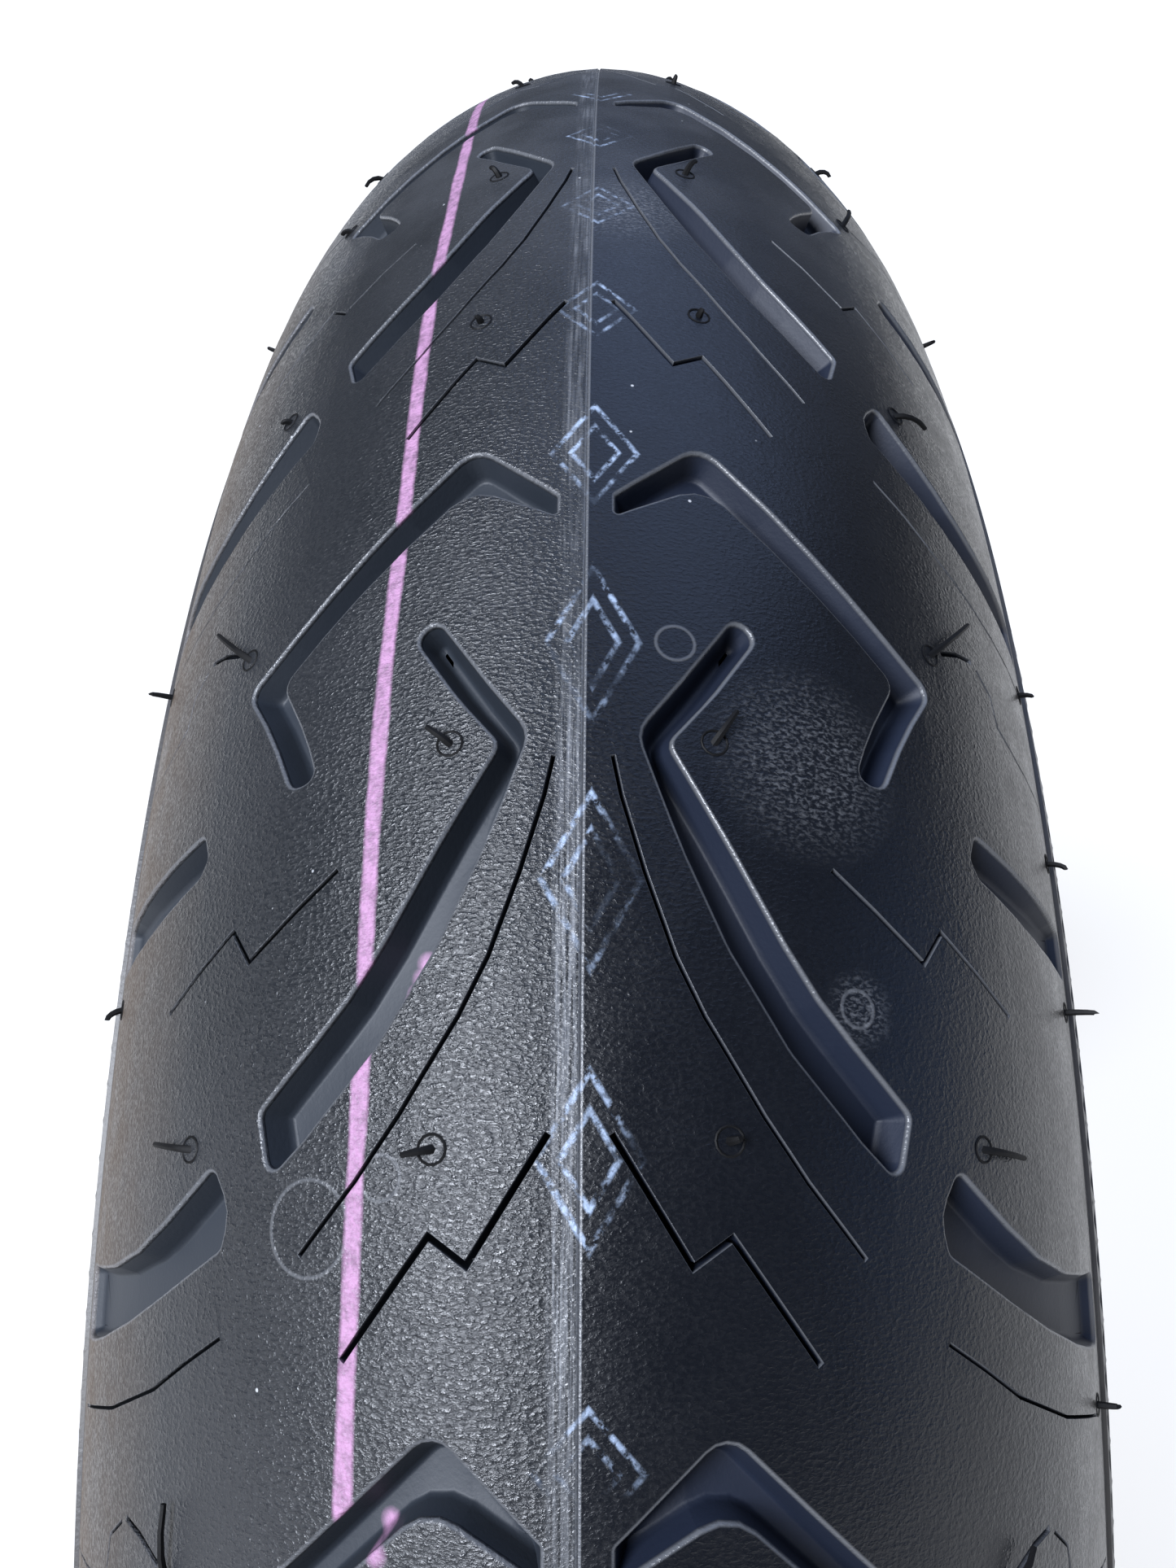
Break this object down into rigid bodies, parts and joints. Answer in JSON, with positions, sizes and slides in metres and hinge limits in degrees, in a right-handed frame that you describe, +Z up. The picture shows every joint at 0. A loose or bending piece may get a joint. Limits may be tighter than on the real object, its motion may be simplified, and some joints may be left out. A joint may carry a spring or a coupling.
{
  "type": "motorcycle tire",
  "caption": "Round-crowned motorcycle tire with a directional grooved tread on a belted cross-ply carcass, off its rim.",
  "frame": {"origin": "centre of the wheel, on the axle line and in the centre plane", "axes": "Y along the axle, +Z up as the tyre stands; seen from +X, left is -Y and right is +Y"},
  "size_m": [0.646, 0.1496, 0.6432],
  "materials": {
    "tread_rubber": "moulded tread compound, matt with a soft sheen, dusty at the shoulders",
    "sidewall_rubber": "moulded sidewall compound, satin",
    "cushion_rubber": "soft compound bonded between layers",
    "filler_rubber": "hard compound",
    "heel_rubber": "smooth moulded heel",
    "liner_rubber": "cured against a bladder, satin with fine ribs",
    "ply_cord": "nylon cord fabric in skim rubber",
    "belt_cord": "aramid cord fabric in skim rubber",
    "bead_fabric": "square-woven nylon in skim rubber",
    "bead_wire": "bronze-plated bead wire"
  },
  "bodies": {
    "root": {"tread_cap": "tread_rubber", "tread_base": "cushion_rubber", "belt_outer": "belt_cord", "belt_inner": "belt_cord", "body_ply_outer": "ply_cord", "body_ply_inner": "ply_cord", "inner_liner": "liner_rubber", "belt_edge_strip_left": "cushion_rubber", "belt_edge_strip_right": "cushion_rubber", "sidewall_left": "sidewall_rubber", "sidewall_right": "sidewall_rubber", "bead_core_left": "bead_wire", "bead_core_right": "bead_wire", "bead_filler_left": "filler_rubber", "bead_filler_right": "filler_rubber", "bead_wrap_left": "bead_fabric", "bead_wrap_right": "bead_fabric", "chafer_left": "bead_fabric", "chafer_right": "bead_fabric", "rim_cushion_left": "heel_rubber", "rim_cushion_right": "heel_rubber"}
  },
  "joints": []
}
